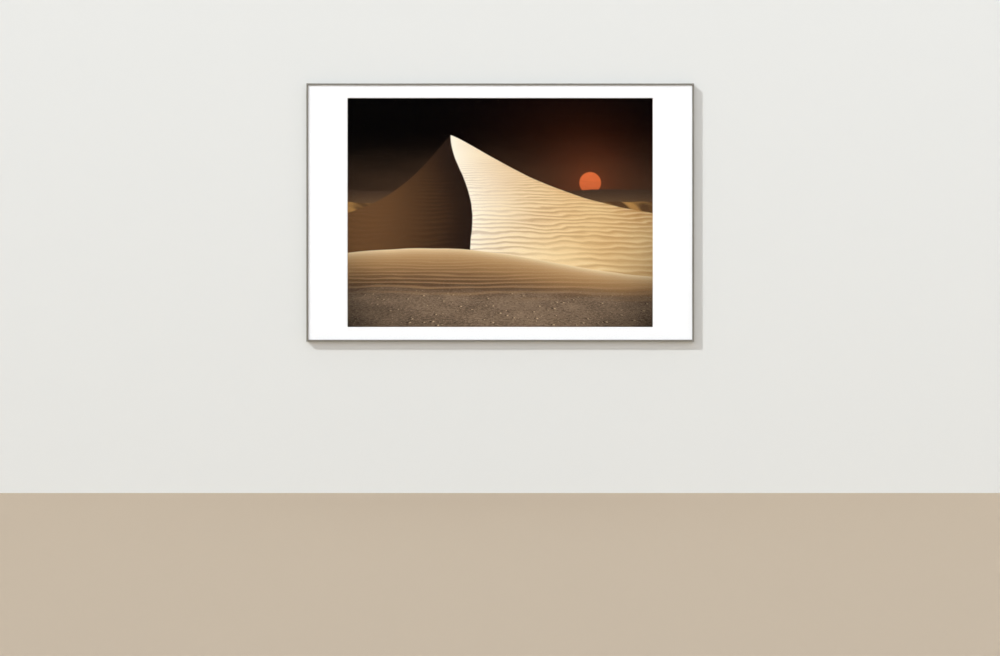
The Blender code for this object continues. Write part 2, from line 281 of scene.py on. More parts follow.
# %% Sun
SHADOW_RIGHT_PX, SHADOW_BOTTOM_PX = 702.9, 350.2
SUN_STRENGTH, SUN_COLOUR, SUN_ANGLE_DEG = 1.75, (0.94, 1, 1.05), 3
metres_per_px_at_wall = metres_per_px * (camera_away - FRONT) / camera_away


def at_wall(x_px, y_px):
    """Where a place in the picture to be matched lies on the wall, across and up."""
    right, up = x_px - IMAGE_WIDTH_PX / 2, IMAGE_HEIGHT_PX / 2 - y_px
    return right * metres_per_px_at_wall + camera.location.x, up * metres_per_px_at_wall + camera.location.z


shadow_right, shadow_bottom = at_wall(SHADOW_RIGHT_PX, SHADOW_BOTTOM_PX)
sun_way = Vector((shadow_right - HALF_WIDTH, -FRONT, shadow_bottom + HALF_HEIGHT))
sun = bpy.data.objects.new("sun", bpy.data.lights.new("sun", "SUN"))
sun.data.energy = SUN_STRENGTH
sun.data.color = SUN_COLOUR
sun.data.angle = math.radians(SUN_ANGLE_DEG)
sun.rotation_euler = sun_way.to_track_quat("-Z", "Y").to_euler()
sun.visible_glossy = False
scene.collection.objects.link(sun)
print("the sun travels along", [round(v, 2) for v in sun_way.normalized()])

# %% Softboxes
for name, place, size, power in [
    ("softbox_front_left", (-3.4, -2.6, 1.1), 3.4, 100),
    ("softbox_front_right", (3.6, -2.2, 0.9), 3, 70),
    ("softbox_above", (0.4, -1.6, 3.4), 2.8, 120),
    ("softbox_back_left", (-2.4, 2.6, 1.4), 3.4, 60),
    ("softbox_back_right", (2.4, 2.4, 0.8), 2.8, 45),
]:
    lamp = bpy.data.objects.new(name, bpy.data.lights.new(name, "AREA"))
    lamp.data.size = size
    lamp.data.energy = power
    lamp.location = place
    lamp.rotation_euler = (-Vector(place)).to_track_quat("-Z", "Y").to_euler()
    lamp.visible_camera = False
    lamp.visible_diffuse = False
    scene.collection.objects.link(lamp)
    print(name, f"{power / size ** 2:.1f} W for each square metre, seen only by shiny surfaces")

# %% [markdown]
# ## A wall and a floor
# The wall and the floor are only a stage. Each board is seen from its front and is clear from behind, so
# the back and the underside of the frame can be looked at too. A real wall also leaves that back in the
# dark, so the part that the frame covers is a patch of its own, which the camera sees and the light
# passes.

# %% A board of the stage
def plain_board(name, corners, faces, colour):
    """A dull board that is clear from behind."""
    mesh = bpy.data.meshes.new(name)
    mesh.from_pydata(corners, [], faces)
    board = bpy.data.objects.new(name, mesh)
    material = bpy.data.materials.new(name)
    material.use_nodes = True
    tree = material.node_tree
    shader = tree.nodes["Principled BSDF"]
    plug(shader.inputs["Base Color"], colour)
    shader.inputs["Roughness"].default_value = 1
    shader.inputs["Specular IOR Level"].default_value = 0
    clear = add(tree, "ShaderNodeBsdfTransparent")
    behind = add(tree, "ShaderNodeNewGeometry").outputs["Backfacing"]
    one_sided = add(tree, "ShaderNodeMixShader", {0: behind, 1: shader, 2: clear})
    plug(tree.nodes["Material Output"].inputs["Surface"], one_sided)
    mesh.materials.append(material)
    scene.collection.objects.link(board)
    board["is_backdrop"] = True
    return board


FLOOR_LINE_PX = 493
floor_level = at_wall(0, FLOOR_LINE_PX)[1]
print(f"floor {-floor_level:.3f} m below the print's centre")

# %% Wall, its covered patch, and floor
WALL_COLOUR = (0.745, 0.738, 0.7)
FLOOR_COLOUR = (0.58, 0.47, 0.355)
WALL_GAP = 0.1 * MM
STAGE_REACH, FLOOR_REACH_BACK = 12, 8


def rectangle(left, right, low, high):
    """Four corners, round from the lower left."""
    return [(left, low), (right, low), (right, high), (left, high)]


one_face = [(0, 1, 2, 3)]
outside = rectangle(-STAGE_REACH, STAGE_REACH, floor_level, STAGE_REACH)
covered = rectangle(-HALF_WIDTH, HALF_WIDTH, -HALF_HEIGHT, HALF_HEIGHT)
outside, covered = ([(x, WALL_GAP, z) for x, z in corners] for corners in (outside, covered))
around = [(i, (i + 1) % 4, 4 + (i + 1) % 4, 4 + i) for i in range(4)]
room_wall = plain_board("room_wall", outside + covered, around, WALL_COLOUR)
room_wall.visible_shadow = False
wall_patch = plain_board("wall_patch", covered, one_face, WALL_COLOUR)
wall_patch.visible_shadow = False
wall_patch.visible_diffuse = False
wall_patch.visible_glossy = False
floor = rectangle(-STAGE_REACH, STAGE_REACH, -STAGE_REACH, FLOOR_REACH_BACK)
plain_board("room_floor", [(x, y, floor_level) for x, y in floor], one_face, FLOOR_COLOUR)
print("three boards, up to", 2 * STAGE_REACH, "m wide")

# %% [markdown]
# ## Finishes
# Each finish is a formula on the surface. Scanned pictures are quicker, but they blur close by and
# repeat on a large piece, and a formula does neither. Where a pattern follows a piece, as the drawn
# lines of an aluminium rail do, it reads numbers stored on the piece. Elsewhere it reads the place in
# the frame. A number that is the same all over is set on the shader itself.

# %% A new finish
def new_finish(name, **settings):
    """A material, its tree and its shader. A setting such as Coat_Weight goes to that socket."""
    material = bpy.data.materials.new(name)
    material.use_nodes = True
    shader = material.node_tree.nodes["Principled BSDF"]
    for setting, value in settings.items():
        shader.inputs[setting.replace("_", " ")].default_value = value
    print(name, settings)
    return material, material.node_tree, shader


def place_fields(tree):
    """The place on the object in metres: across, away and up."""
    return split(add(tree, "ShaderNodeTexCoord").outputs["Object"])


def stored(tree, name):
    """A number stored on the piece's points."""
    return Field(add(tree, "ShaderNodeAttribute", attribute_name=name).outputs["Fac"])


def paint(shader, colour, roughness=None):
    plug(shader.inputs["Base Color"], colour)
    if roughness:
        plug(shader.inputs["Roughness"], roughness)


def relief(shader, height, depth):
    """Raises the surface by height, of about 1 at most, times depth in metres."""
    bump = add(shader.id_data, "ShaderNodeBump", {"Height": height, "Distance": depth, "Strength": 1})
    plug(shader.inputs["Normal"], bump)
    print(f"relief of {depth / MM:.3f} mm, {len(shader.id_data.nodes)} nodes in all")


print("finishes read the place on the object, or numbers stored on its points")

# %% [markdown]
# ## Anodised aluminium
# The rails are drawn through a die, which leaves fine lines along their whole length, and then dyed a
# warm grey and anodised. Lines could be cut into the mesh, but hundreds run side by side on each rail,
# so they are noise that is stretched along it: slow along the rail, fast across it. Handling rubs the
# outer front edges first, so the dye is thinner there and the metal brighter, in patches and not in an
# even line.

# %% Rail finish
rail_finish, tree, shader = new_finish("anodised_aluminium", Metallic=0.55)
along, inset, depth = (stored(tree, name) for name in ("along", "inset", "depth"))
across = inset * 1.3 + depth
drawn = noise(along * 5, across * 5200, 1, 3, 0.6)
broad = noise(along * 2, across * 500, 1, 2, 0.5, 4)
rubbed_where = noise(along, across * 3, 45, 3, 0.6, 8)
outer_edge = ramp(inset, 1.1 * MM, 0.2 * MM) * ramp(depth, 1.1 * MM, 0.2 * MM)
inner_edge = ramp(inset, 4.4 * MM, 5 * MM) * ramp(depth, 0.5 * MM, 0.1 * MM)
rubbed = (outer_edge + inner_edge * 0.4) * ramp(rubbed_where, -0.25, 0.7)
grey = mixed(ramp(drawn + broad * 0.5, -0.9, 0.9), (126, 122, 113), (159, 155, 145))
grey = mixed(rubbed * 0.75, grey, (206, 202, 193))
paint(shader, grey, 0.43 + drawn * 0.07 - rubbed * 0.12)
relief(shader, drawn * 0.5 + broad * 0.3, 0.012 * MM)

# %% [markdown]
# ## Zinc and blued steel
# Corner plates, screws and hangers are stamped steel with a thin coat of zinc, which is bluish, slightly
# cloudy and a little yellow in places. The springs are hardened strip. Heating leaves them blue-black,
# and their flat ends, which rub under the shelf as they are pushed in, wear brighter. One grey metal
# could serve them all, but it would hide what each part is for, so each coat gets noise at the size of
# its own clouds and scuffs.

# %% Zinc
zinc_finish, tree, shader = new_finish("zinc_plated_steel", Metallic=1)
x, y, z = place_fields(tree)
cloud = noise(x + y, z, 260, 4, 0.6)
stain = noise(x + y, z, 90, 3, 0.5, 6)
tumbled = noise(x + y * 1.4, z, 2600, 2, 0.7, 3)
zinc = mixed(ramp(cloud, -0.6, 0.6), (170, 175, 182), (212, 215, 218))
zinc = mixed(ramp(stain, 0.05, 0.7) * 0.45, zinc, (206, 194, 158))
paint(shader, zinc, 0.38 + cloud * 0.08 + tumbled * 0.05)
relief(shader, tumbled * 0.5 + cloud * 0.5, 0.012 * MM)

# %% Blued spring steel
spring_finish, tree, shader = new_finish("blued_spring_steel", Metallic=0.95)
x, y, z = place_fields(tree)
heat = noise(x, z + y, 160, 3, 0.55)
scuff = noise(x, z + y, 1900, 3, 0.7, 2)
worn = ramp(stored(tree, "bow"), 0.3, 0) * ramp(scuff, -0.2, 0.9) * 0.45
blue = mixed(ramp(heat, -0.5, 0.6), (44, 50, 66), (84, 92, 110))
blue = mixed(worn, blue, (168, 170, 172))
paint(shader, blue, 0.34 + scuff * 0.1)
relief(shader, scuff * 0.5 + 0.5, 0.01 * MM)

# %% [markdown]
# ## Boards
# Mat board is cotton pulp: nearly white, with a soft tooth that only shows in slanting light, and its
# cut bevel shows the slightly warmer core. The mount board behind is plain grey-white card. The three
# differ only in colour and tooth, so one function makes them. Hardboard is pressed from hot wet fibres
# on a wire screen, so its rear has the print of a square weave under brown, hairy fibres. Two crossed
# sine waves make the weave, and noise sways them, because a real screen is never quite straight.

# %% Mat board, its core and the mount card
def paper_finish(name, dark, light, tooth, depth):
    """Pulp with a soft tooth: two close colours and a fine relief."""
    material, tree, shader = new_finish(name, Roughness=0.92, Specular_IOR_Level=0.25)
    x, y, z = place_fields(tree)
    pulp = noise(x, z, tooth, 4, 0.65, y)
    fibre = noise(x * 0.35, z, tooth * 2.2, 3, 0.6, 5)
    paint(shader, mixed(ramp(pulp + fibre * 0.5, -0.9, 0.9), dark, light))
    relief(shader, pulp * 0.35 + fibre * 0.25 + 0.5, depth)
    return material


mat_finish = paper_finish("mat_board", (249, 248, 247), (254, 253, 252), 1400, 0.035 * MM)
core_finish = paper_finish("mat_board_core", (243, 241, 237), (249, 248, 245), 2600, 0.05 * MM)
card_finish = paper_finish("mount_card", (206, 204, 200), (220, 219, 215), 900, 0.05 * MM)

# %% Hardboard
SCREEN_PITCH = 1.5 * MM
board_finish, tree, shader = new_finish("hardboard", Specular_IOR_Level=0.3)
x, y, z = place_fields(tree)
sway = noise(x, z, 30) * 0.35
turns = 2 * math.pi / SCREEN_PITCH
wire_up = (x * turns + sway).math("SINE")
wire_across = (z * turns - sway).math("SINE")
screen = (wire_up * wire_across).math("ABSOLUTE") ** 0.6
hair = noise(x + z * 0.4, z - x * 0.2, 700, 5, 0.7, 3)
long_hair = noise(x * 0.3 + z, z * 2.2 - x, 420, 3, 0.6, 9)
patch = noise(x, z, 7, 5, 0.65, 7)
fleck = noise(x + z * 0.2, z, 190, 3, 0.65, 11)
fibres = ramp(hair * 0.8 + long_hair * 0.5 + fleck * 0.7 + patch * 0.35, -1, 1)
brown = mixed(fibres, (84, 58, 38), (156, 116, 79))
brown = mixed((1 - screen) * 0.45, brown, (60, 41, 27))
brown = mixed(ramp(long_hair, 0.35, 0.8) * 0.5, brown, (176, 140, 98))
facing_back = split(add(tree, "ShaderNodeNewGeometry").outputs["Normal"])[1]
brown = mixed(ramp(facing_back, 0.75, 0.35) * 0.7, brown, (158, 122, 84))
paint(shader, brown, 0.78 + hair * 0.1)
relief(shader, screen * 0.6 + hair * 0.2 + long_hair * 0.2, 0.12 * MM)

# %% [markdown]
# ## Felt and clear sheet
# Felt has no weave, only tangled fibres, so its colour is noise at the size of a fibre, and real fibres
# are added to the pads later. The clear sheet must show the print and still answer the light. A glass
# shader would do it at the cost of a darker, noisier print. A faint mirror does both: most of it is
# see-through, and what is left reflects softly, as acrylic with a non-glare face does.

# %% Felt and acrylic
felt_finish, tree, shader = new_finish("grey_felt", Roughness=1, Specular_IOR_Level=0.1, Sheen_Weight=0.5)
x, y, z = place_fields(tree)
tangle = noise(x, z, 2200, 4, 0.75, y)
clump = noise(x, z, 500, 2, 0.5, y)
paint(shader, mixed(ramp(tangle + clump * 0.6, -0.9, 0.9), (62, 60, 58), (138, 134, 129)))
relief(shader, tangle * 0.5 + 0.5, 0.15 * MM)

glazing_finish, tree, shader = new_finish("clear_acrylic", Metallic=1, Alpha=0.01)
x, y, z = place_fields(tree)
wipe = noise(x * 0.3 + z, z - x * 0.2, 9, 4, 0.6)
paint(shader, (0.95, 0.95, 0.95), 0.2 + ramp(wipe, 0.1, 0.9) * 0.08)

# %% [markdown]
# ## The picture
# The print shows sand dunes under a dark sky, in three layers: a tall dune, a low one before it, and
# gritty ground. All of it is one formula on the place in the frame, so it is as sharp as the render
# needs and no picture file is read. It is painted from far to near, as a painter works: each layer's
# edge is a line, and the next layer covers what is behind that line.

# %% The picture's own measures
MAT_WINDOW_WIDTH, MAT_WINDOW_HEIGHT = 787 * MM, 590.25 * MM
picture_finish, tree, shader = new_finish("picture_print", Roughness=0.85, Specular_IOR_Level=0.01)
place_x, _, place_z = place_fields(tree)
MIDDLE_X, MIDDLE_UP = MAT_WINDOW_WIDTH / MAT_WINDOW_HEIGHT / 2, 0.5
x = place_x / MAT_WINDOW_HEIGHT + MIDDLE_X
up = place_z / MAT_WINDOW_HEIGHT + MIDDLE_UP
print("one unit of the picture is", MAT_WINDOW_HEIGHT, "m, and it is", round(2 * MIDDLE_X, 3), "wide")

# %% [markdown]
# ## Sky, setting sun and far ridges
# A dusk sky is warm and pale low down and nearly black above, with a glow round the sun. A band of haze
# crosses the disc. Two rows of ridges stand before it, each with a skyline that wanders like noise, and
# the nearer one has a lit and a shaded side, found by comparing the ground with itself a step aside.

# %% Sky
haze = noise(x, up * 3.5, 1.6, 4, 0.55, 1)
picture = mixed(ramp(up + haze * 0.1, 0.48, 0.86), (66, 48, 34), (2, 1, 1))
DISC_X, DISC_UP, DISC_RADIUS = 1.06, 0.63, 0.05
from_sun_x, from_sun_up = x - DISC_X, up - DISC_UP
from_sun = (from_sun_x * from_sun_x + from_sun_up * from_sun_up).math("SQRT")
picture = mixed((from_sun * -7.5).math("EXPONENT") * 0.55, picture, (128, 62, 32))
cloud = ramp(noise(x, up * 6, 9, 3, 0.5, 3), -0.1, 0.9)
disc = mixed(cloud * 0.5 + ramp(up, 0.66, 0.59) * 0.35, (214, 104, 56), (150, 70, 42))
picture = mixed(ramp(from_sun, DISC_RADIUS, DISC_RADIUS * 0.88), picture, disc)
print("with its sky the picture has", len(tree.nodes), "nodes")

# %% Ridges
skyline = noise(x, 0, 2.6, 4, 0.5, 5) * 0.035 + 0.605
far = mixed(ramp(up, 0.48, 0.62), (112, 84, 58), (58, 43, 33))
picture = mixed(ramp(skyline - up, 0, 0.006), picture, far)
skyline = noise(x, 0, 1.7, 3, 0.5, 9) * 0.05 + 0.553
slant = x + up * 1.2
slope = noise(slant, up, 5, 2, 0.5, 3) - noise(slant - 0.03, up, 5, 2, 0.5, 3)
near = mixed(ramp(slope, -0.1, 0.12), (80, 56, 36), (178, 132, 74))
near = mixed(ramp(up, 0.56, 0.46) * 0.5, near, (128, 92, 54))
picture = mixed(ramp(skyline - up, 0, 0.005), picture, near)
print("with its ridges", len(tree.nodes))

# %% [markdown]
# ## The tall dune
# Wind gives a dune one sharp crest, with a lit side and a side in shade. The crest is a line that winds
# down from the peak, and how far a point lies past it says which side the point is on. Ripples could be
# drawn one by one, but they are waves on level ground, so a sine in perspective draws them all: they
# crowd towards the top, and noise makes them drift and fork.

# %% Ripples in perspective
def ground_plan(x, up, horizon):
    """Where a point of the ground lies, sideways and away, as a level plain seen in perspective."""
    away = 1 / (horizon - up)
    return (x - MIDDLE_X) * away, away


def wind_ripples(side, away, pitch, wander, seed):
    """Waves across the wind, whose crests drift and fork."""
    scale = 0.144 / pitch
    drift = noise(side, away * 2.2, scale, 2, 0.45, seed)
    fork = noise(side, away * 2.5, scale * 3.1, 1, 0.5, seed + 3)
    phase = away * (2 * math.pi / pitch) + drift * wander + fork * 0.9
    return (phase + phase.math("SINE") * 0.45).math("SINE")


side, away = ground_plan(x + up * 0.25, up, horizon=1.25)
print("the plain takes", len(tree.nodes), "nodes so far")

# %% The crest and the outline
PEAK_X, PEAK_UP, FOOT_UP = 0.45, 0.84, 0.44
down = (PEAK_UP - up) / PEAK_UP
wobble = noise(up, 0, 5, 3, 0.5, 22) * 0.012 * ramp(down, 0, 0.3)
past_crest = x - ((down * 6.6).math("SINE") * down * 0.17 + down ** 2.3 * 0.52 + PEAK_X + wobble)
off = x - PEAK_X
left = (off.math("ABSOLUTE") / 0.26) ** 1.15
right = (off.math("ABSOLUTE") / 0.52) ** 1.22
fall = left + (right - left) * ramp(off, -0.002, 0.002)
wobble = noise(x, 0, 4, 3, 0.5, 21) * 0.006 * ramp(fall, 0, 0.6)
outline = (fall * -1).math("EXPONENT") * (PEAK_UP - FOOT_UP) + FOOT_UP + wobble
print("the dune's peak is", round(PEAK_UP - FOOT_UP, 2), "above its foot")

# %% Its lit side
roll = noise(side, away * 1.6, 1.5, 2, 0.5, 7)
hollow = noise(x, up * 1.4, 1.9, 1, 0.5, 31)
sand = mixed(ramp(roll * 0.6 + hollow * 0.7, -0.6, 0.7), (206, 154, 84), (255, 228, 166))
sand = mixed(ramp(past_crest, 0.35, 0.85) * 0.5, sand, (160, 108, 56))
near_crest = (past_crest.math("ABSOLUTE") * -4.5).math("EXPONENT")
sand = mixed(near_crest * 0.9, sand, (255, 246, 226))
wave = wind_ripples(side + away * 0.5, away, pitch=0.03, wander=7, seed=2)
strength = ramp(noise(x, up * 1.5, 2.6, 2, 0.5, 40), -0.7, 0.5) * ramp(up, 0.86, 0.55)
sand = mixed(ramp(wave, 0.25, -0.9) * strength * 0.5, sand, (150, 100, 48))
sand = mixed(ramp(wave, 0.2, 1) * strength * 0.35, sand, (255, 236, 186))
grain = noise(x, up, 260, 2, 0.7, 50)
lit = mixed(ramp(grain, 0, 1) * 0.2, sand, (120, 82, 44))
print("with the lit side", len(tree.nodes))

# %% Its shaded side, and the whole dune
sand = mixed(ramp(past_crest, -0.55, 0), (110, 76, 46), (38, 25, 18))
wave = wind_ripples(side - away * 0.3, away, pitch=0.034, wander=6, seed=12)
strength = ramp(wave, -0.9, 0.9) * ramp(past_crest, 0, -0.25) * 0.3
shaded = mixed(strength, sand, (92, 62, 38))
dune = mixed(ramp(past_crest, -0.0025, 0.0025), shaded, lit)
picture = mixed(ramp(outline - up, 0, 0.0035), picture, dune)
print("with the tall dune", len(tree.nodes))

# %% [markdown]
# ## The low dune and the ground
# A low dune lies before the tall one, with wide ripples and a bright edge where its crest meets the
# light. The ground is grit with scattered stones. Stones could be modelled, but a print is flat, so a
# stone is a low dome in a cell of a Voronoi pattern, and it is lit by comparing the domes with
# themselves a little to the right.

# %% Low dune
wobble = noise(x, 0, 2.2, 3, 0.5, 60) * 0.01
below = (x * 2.9 + 0.5).math("SINE") * 0.055 - x * 0.02 + 0.3 + wobble - up
side, away = ground_plan(x, up, horizon=0.62)
wave = wind_ripples(side, away, pitch=0.11, wander=5, seed=17)
sand = mixed(ramp(below, 0, 0.17), (176, 134, 86), (92, 68, 48))
sand = mixed(ramp(wave, -0.3, 1) * 0.5, sand, (176, 138, 96))
sand = mixed((below * -60).math("EXPONENT") * 0.9, sand, (246, 222, 176))
picture = mixed(ramp(below, 0, 0.004), picture, sand)
print("with the low dune", len(tree.nodes))

# %% Stones
def stones(side, away, scale, seed):
    """Low domes scattered on the ground, from 0 to 1. One cell in three or so has a stone."""
    inputs = {"Vector": joined(side.tree, side, away, seed), "Scale": scale}
    cells = add(side.tree, "ShaderNodeTexVoronoi", inputs, feature="F1")
    chance = split(cells.outputs["Color"])[0]
    size = ramp(chance, 0.55, 1) * 0.34 + 0.001
    return ramp(Field(cells.outputs["Distance"]) / size, 1, 0.25)


def lit_from_right(side, away, scale, seed):
    """How much a stone's surface turns to the low light, from -1 to 1."""
    shift = 0.12 / scale
    return stones(side, away, scale, seed) - stones(side + shift, away, scale, seed)


side, away = ground_plan(x, up, horizon=0.55)
small_stones = lit_from_right(side, away * 1.4, 38, 37)
large_stones = lit_from_right(side, away * 1.4, 16, 31)
print("with two sizes of stones", len(tree.nodes))

# %% Ground
edge = noise(x, 0, 1.5, 3, 0.5, 12) * 0.03 + 0.17 - x * 0.02
grit = noise(side * 1.3, away * 2, 26, 4, 0.65, 4)
patch = noise(side * 1.6, away * 2, 2.6, 2, 0.5, 14)
stony = mixed(ramp(grit + patch * 0.4, -0.8, 0.8), (62, 50, 41), (158, 132, 106))
for light, strength in ((large_stones, 0.8), (small_stones, 0.65)):
    stony = mixed(ramp(light, 0, 0.6) * strength, stony, (226, 196, 152))
    stony = mixed(ramp(light, 0, -0.6) * strength, stony, (28, 21, 16))
drift = noise(side * 0.6, away * 3, 3, 3, 0.55, 24)
picture = mixed(ramp(edge - up + grit * 0.02 + drift * 0.035, -0.035, 0.05), picture, stony)
print("with the ground", len(tree.nodes))

# %% [markdown]
# ## The printed paper
# A print often goes darker towards its corners, which holds the eye in the middle. Past the window the
# paper stays white: that border is hidden behind the mat, and it lets the picture end where real ink
# does. The paper has a very slight grain and next to no gloss, so black stays black.

# %% Print paper with the picture on it
off_x, off_up = x - MIDDLE_X, up - MIDDLE_UP
from_middle = off_x * off_x + off_up * off_up * 1.5
picture = mixed(ramp(from_middle, 0.18, 0.95) * 0.85, picture, (2, 1, 1))
past_side = place_x.math("ABSOLUTE") - MAT_WINDOW_WIDTH / 2
past_top = place_z.math("ABSOLUTE") - MAT_WINDOW_HEIGHT / 2
white_margin = ramp(past_side.math("MAXIMUM", past_top), 1 * MM, 1.2 * MM)
paint(shader, mixed(white_margin, picture, (238, 238, 236)))
relief(shader, noise(place_x, place_z, 2200, 2, 0.6) * 0.5 + 0.5, 0.004 * MM)

# %% [markdown]
# ## From a tree to a piece
# Rails, springs, screws and fibres follow rules, so geometry trees make them: a tree can be fed other
# sizes, where a modelled mesh would have to be made again. The helpers below start a tree with named
# sizes, end it, and turn what it makes into a plain mesh. A finished piece stands at the origin with its
# place in its mesh, rides on the one body and says which solids it stands for.

# %% A tree's start and end
def new_rule(name, *sizes):
    """A geometry tree, and then its inputs as Fields: the geometry that it starts from, and each size."""
    tree = bpy.data.node_groups.new(name, "GeometryNodeTree")
    tree.interface.new_socket("Geometry", in_out="INPUT", socket_type="NodeSocketGeometry")
    for size in sizes:
        tree.interface.new_socket(size, in_out="INPUT", socket_type="NodeSocketFloat")
    tree.interface.new_socket("Geometry", in_out="OUTPUT", socket_type="NodeSocketGeometry")
    print(name, "takes", sizes)
    return tree, *[Field(output) for output in tree.nodes.new("NodeGroupInput").outputs if output.name]


def end_rule(tree, geometry, material):
    """Every tree ends alike: real geometry instead of instances, and its material."""
    real = add(tree, "GeometryNodeRealizeInstances", {"Geometry": geometry})
    painted = add(tree, "GeometryNodeSetMaterial", {"Geometry": real, "Material": material})
    plug(tree.nodes.new("NodeGroupOutput").inputs["Geometry"], painted)
    print(tree.name, "has", len(tree.nodes), "nodes")


print("every rule starts with its geometry and sizes, and ends as real geometry with its material")

# %% From what an object shows to a plain mesh
def plain_mesh(carrier):
    """What an object shows, as a plain mesh of its name. The object and its own data go."""
    name = carrier.name
    scene.collection.objects.link(carrier)
    graph = bpy.context.evaluated_depsgraph_get()
    mesh = bpy.data.meshes.new_from_object(carrier.evaluated_get(graph), depsgraph=graph)
    bpy.data.batch_remove([carrier, carrier.data])
    mesh.name = name
    return mesh


def grow(name, tree, start, **sizes):
    """What the tree makes from the start mesh."""
    carrier = bpy.data.objects.new(name, start)
    modifier = carrier.modifiers.new(name, "NODES")
    modifier.node_group = tree
    for item in tree.interface.items_tree:
        size = item.name.replace(" ", "_").lower()
        if item.in_out == "INPUT" and size in sizes:
            modifier[item.identifier] = sizes[size]
    return plain_mesh(carrier)


print("a size is set by its socket's identifier, before the tree first runs")

# %% Editing and smoothing a mesh
def opened(mesh):
    shape = bmesh.new()
    shape.from_mesh(mesh)
    return shape


def closed(name, shape):
    mesh = bpy.data.meshes.new(name)
    shape.to_mesh(mesh)
    shape.free()
    return mesh


def smoothed(mesh, angle):
    """Turns the faces outwards and makes edges below the angle smooth, while large faces look flat."""
    shape = opened(mesh)
    if shape.calc_volume(signed=True) < 0:
        mesh.flip_normals()
    shape.free()
    mesh.shade_smooth()
    mesh.set_sharp_from_angle(angle=math.radians(angle))
    carrier = bpy.data.objects.new(mesh.name, mesh)
    modifier = carrier.modifiers.new("flat_faces", "WEIGHTED_NORMAL")
    modifier.keep_sharp = True
    modifier.weight = 100
    return plain_mesh(carrier)


def turned(mesh, place=(0, 0, 0), turn=0):
    """The mesh turned about the Y axis and then moved to its place."""
    mesh.transform(Matrix.Translation(place) @ Matrix.Rotation(turn, 4, "Y"))
    return mesh


print("a corner takes its direction mostly from the larger faces round it")

# %% Handing a piece in, and the four sides
def add_piece(mesh, slot, replaced, *materials):
    """Puts a finished mesh into the scene for the solids that it replaces."""
    for material in materials:
        mesh.materials.append(material)
    piece = bpy.data.objects.new(mesh.name, mesh)
    scene.collection.objects.link(piece)
    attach(piece, "root")
    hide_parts(*replaced)
    BUILT.append(piece)
    print(piece.name, "has", len(mesh.polygons), "faces for", ", ".join(replaced))


def numbered(stem, count):
    """The names of the solids that repeat."""
    return [f"{stem}_{number}" for number in range(1, count + 1)]


BUILT = []
SIDES = {
    "top": ((0, 0, HALF_HEIGHT), 0 * QUARTER, 2 * HALF_WIDTH),
    "right": ((HALF_WIDTH, 0, 0), 1 * QUARTER, 2 * HALF_HEIGHT),
    "bottom": ((0, 0, -HALF_HEIGHT), 2 * QUARTER, 2 * HALF_WIDTH),
    "left": ((-HALF_WIDTH, 0, 0), 3 * QUARTER, 2 * HALF_HEIGHT),
}
print("sides:", ", ".join(SIDES))

# %% [markdown]
# ## The rails
# Each side of the frame is one length of extrusion, cut at 45 degrees. Its section has a thin face in
# front, an outer wall, a shelf that the springs push against, and a channel with two lips at the back.
# It could be modelled as a box with grooves, but an extrusion is a section and a length, so the tree
# sweeps the section along a line. Then it slides each point along by its inset, which is the mitre. The
# places on the section are stored, because the drawn lines of the finish follow them.

# %% Outlines with rounded corners
def rounded(corners, steps=5):
    """A closed outline from (x, y, radius) corners, each sharp corner turned into an arc."""
    outline = []
    for index, (x, y, radius) in enumerate(corners):
        here = Vector((x, y))
        if radius == 0:
            outline.append(here)
            continue
        back = (Vector(corners[index - 1][:2]) - here).normalized()
        on = (Vector(corners[(index + 1) % len(corners)][:2]) - here).normalized()
        half = back.angle(on) / 2
        centre = here + (back + on).normalized() * radius / math.sin(half)
        reach = radius / math.tan(half)
        start = (here + back * reach - centre).normalized()
        end = (here + on * reach - centre).normalized()
        outline += [centre + start.slerp(end, step / steps) * radius for step in range(steps + 1)]
    return outline


def wire(name, outline):
    """A closed outline as a ring of edges, for a tree to sweep."""
    mesh = bpy.data.meshes.new(name)
    edges = [(i, (i + 1) % len(outline)) for i in range(len(outline))]
    mesh.from_pydata([(x, y, 0) for x, y in outline], edges, [])
    print(name, "has", len(outline), "points")
    return mesh


# %% The section, as inset from the outer edge and depth from the front
near, far = SECTION / 2 - CHANNEL_MOUTH / 2, SECTION / 2 + CHANNEL_MOUTH / 2
inside = SECTION - RAIL_WALL
LARGE, MEDIUM, SMALL, INNER = 0.8 * MM, 0.4 * MM, 0.3 * MM, 0.25 * MM
corners = [(0, 0, LARGE), (FACE_WIDTH, 0, MEDIUM), (FACE_WIDTH, FACE_THICKNESS, SMALL)]
corners += [(RAIL_WALL, FACE_THICKNESS, INNER), (RAIL_WALL, SHELF, INNER), (SECTION, SHELF, SMALL)]
corners += [(SECTION, RAIL_DEPTH, MEDIUM), (far, RAIL_DEPTH, SMALL), (far, CHANNEL_LIP, SMALL)]
corners += [(inside, CHANNEL_LIP, INNER), (inside, CHANNEL_FLOOR, INNER)]
corners += [(RAIL_WALL, CHANNEL_FLOOR, INNER), (RAIL_WALL, CHANNEL_LIP, INNER)]
corners += [(near, CHANNEL_LIP, SMALL), (near, RAIL_DEPTH, SMALL), (0, RAIL_DEPTH, MEDIUM)]
section = wire("rail_section", rounded(corners))

# %% Steps that trees share
def store(tree, geometry, name, value):
    inputs = {"Geometry": geometry, "Name": name, "Value": value}
    return add(tree, "GeometryNodeStoreNamedAttribute", inputs, data_type="FLOAT", domain="POINT")


def named(tree, name):
    node = add(tree, "GeometryNodeInputNamedAttribute", {"Name": name}, data_type="FLOAT")
    return Field(node.outputs["Attribute"])


def position(tree):
    return split(add(tree, "GeometryNodeInputPosition"))


def put(tree, geometry, place):
    return add(tree, "GeometryNodeSetPosition", {"Geometry": geometry, "Position": place})


def sweep(tree, path, profile):
    inputs = {"Curve": path, "Profile Curve": profile, "Fill Caps": True}
    return add(tree, "GeometryNodeCurveToMesh", inputs)


